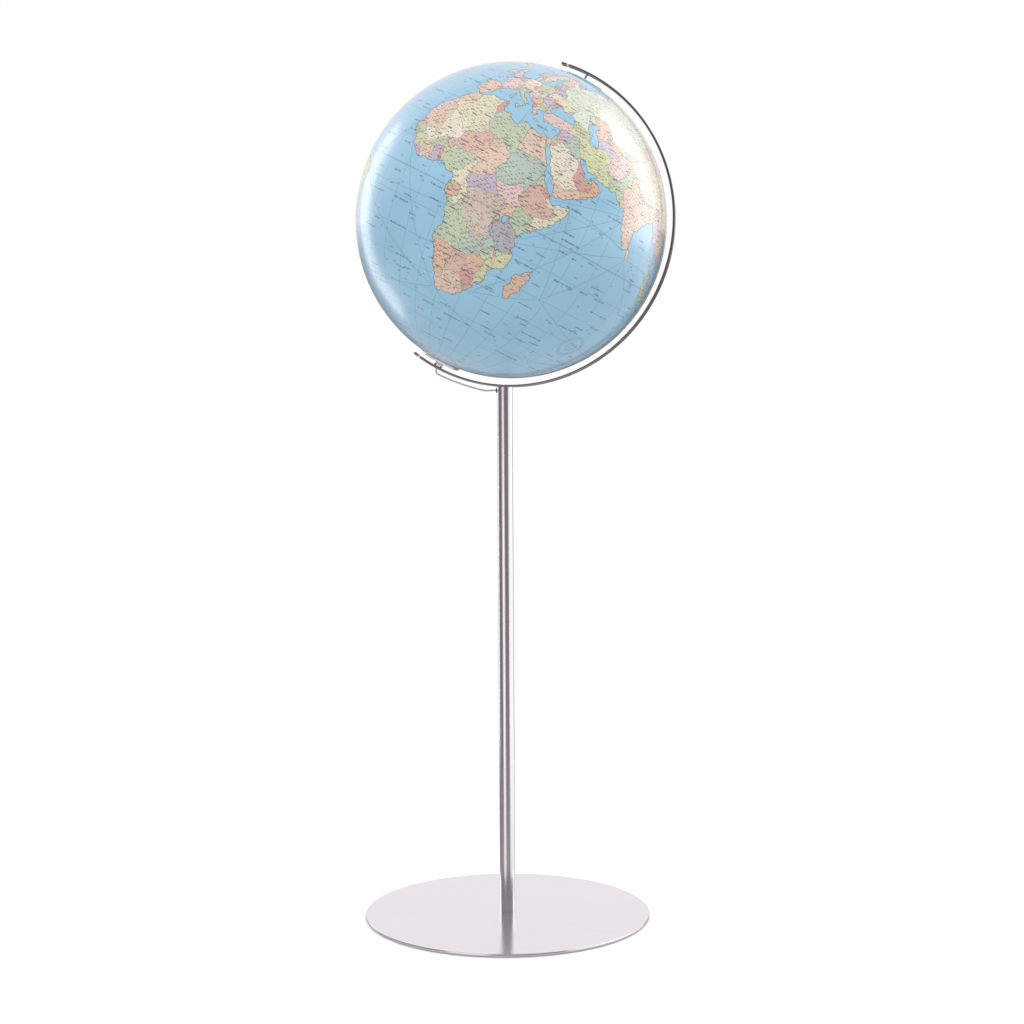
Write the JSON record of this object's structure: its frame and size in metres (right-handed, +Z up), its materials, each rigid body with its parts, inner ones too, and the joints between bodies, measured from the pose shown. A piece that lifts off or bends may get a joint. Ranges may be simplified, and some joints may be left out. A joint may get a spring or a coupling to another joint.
{
  "type": "illuminated floor globe",
  "caption": "Floor-standing illuminated globe: round steel base plate, slim steel column, C-shaped meridian band and a two-shell ball that turns on a tilted polar axis.",
  "frame": {"origin": "on the column's axis, at the underside of the base, where the part rests on the floor", "axes": "+Z up the column; the meridian band lies in the XZ plane, and the north end of the polar axis leans towards +X"},
  "size_m": [0.4111, 0.4, 1.1],
  "materials": {
    "brushed_steel": "fine straight brushing, satin",
    "band_steel": "brushed along the band, bright edges",
    "polished_steel": "turned and polished",
    "fastener_steel": "zinc-plated, satin",
    "underlay": "matt non-slip mat",
    "black_plastic": "fine matt",
    "white_plastic": "satin moulded",
    "clear_plastic": "smooth moulded",
    "lamp_opal": "opal diffuser",
    "lead_sheath": "satin PVC sheath",
    "printed_globe": "printed political map under clear gloss lacquer",
    "polar_cap": "satin gloss"
  },
  "bodies": {
    "stand": {"base_underlay": "underlay", "base_plate": "brushed_steel", "base_screw": "fastener_steel", "column_foot_plug": "fastener_steel", "column_tube": "brushed_steel", "column_top_plug": "fastener_steel", "lead_grommet": "black_plastic", "power_inlet": "black_plastic", "meridian_arc": "band_steel", "meridian_screw": "fastener_steel", "north_end_collar": "polished_steel", "north_end_tip": "band_steel", "south_end_collar": "polished_steel", "south_end_tip": "band_steel", "north_pivot_pin": "fastener_steel", "south_bush": "polished_steel", "lamp_tube": "fastener_steel", "lamp_holder": "white_plastic", "lamp_bulb": "lamp_opal", "lamp_lead": "lead_sheath"},
    "ball": {"north_hemisphere": "printed_globe", "south_hemisphere": "printed_globe", "equator_hoop": "clear_plastic", "north_polar_cap": "polar_cap", "north_bearing": "white_plastic", "south_flange": "polished_steel", "south_sleeve": "white_plastic", "flange_clip_1": "fastener_steel", "flange_clip_2": "fastener_steel", "flange_clip_3": "fastener_steel"}
  },
  "joints": [
    {"name": "globe_spin", "type": "hinge", "parent": "stand", "child": "ball", "pos_m": [0.01, 0, 0.9], "axis": [0.4772, 0, 0.8788], "continuous": true}
  ]
}
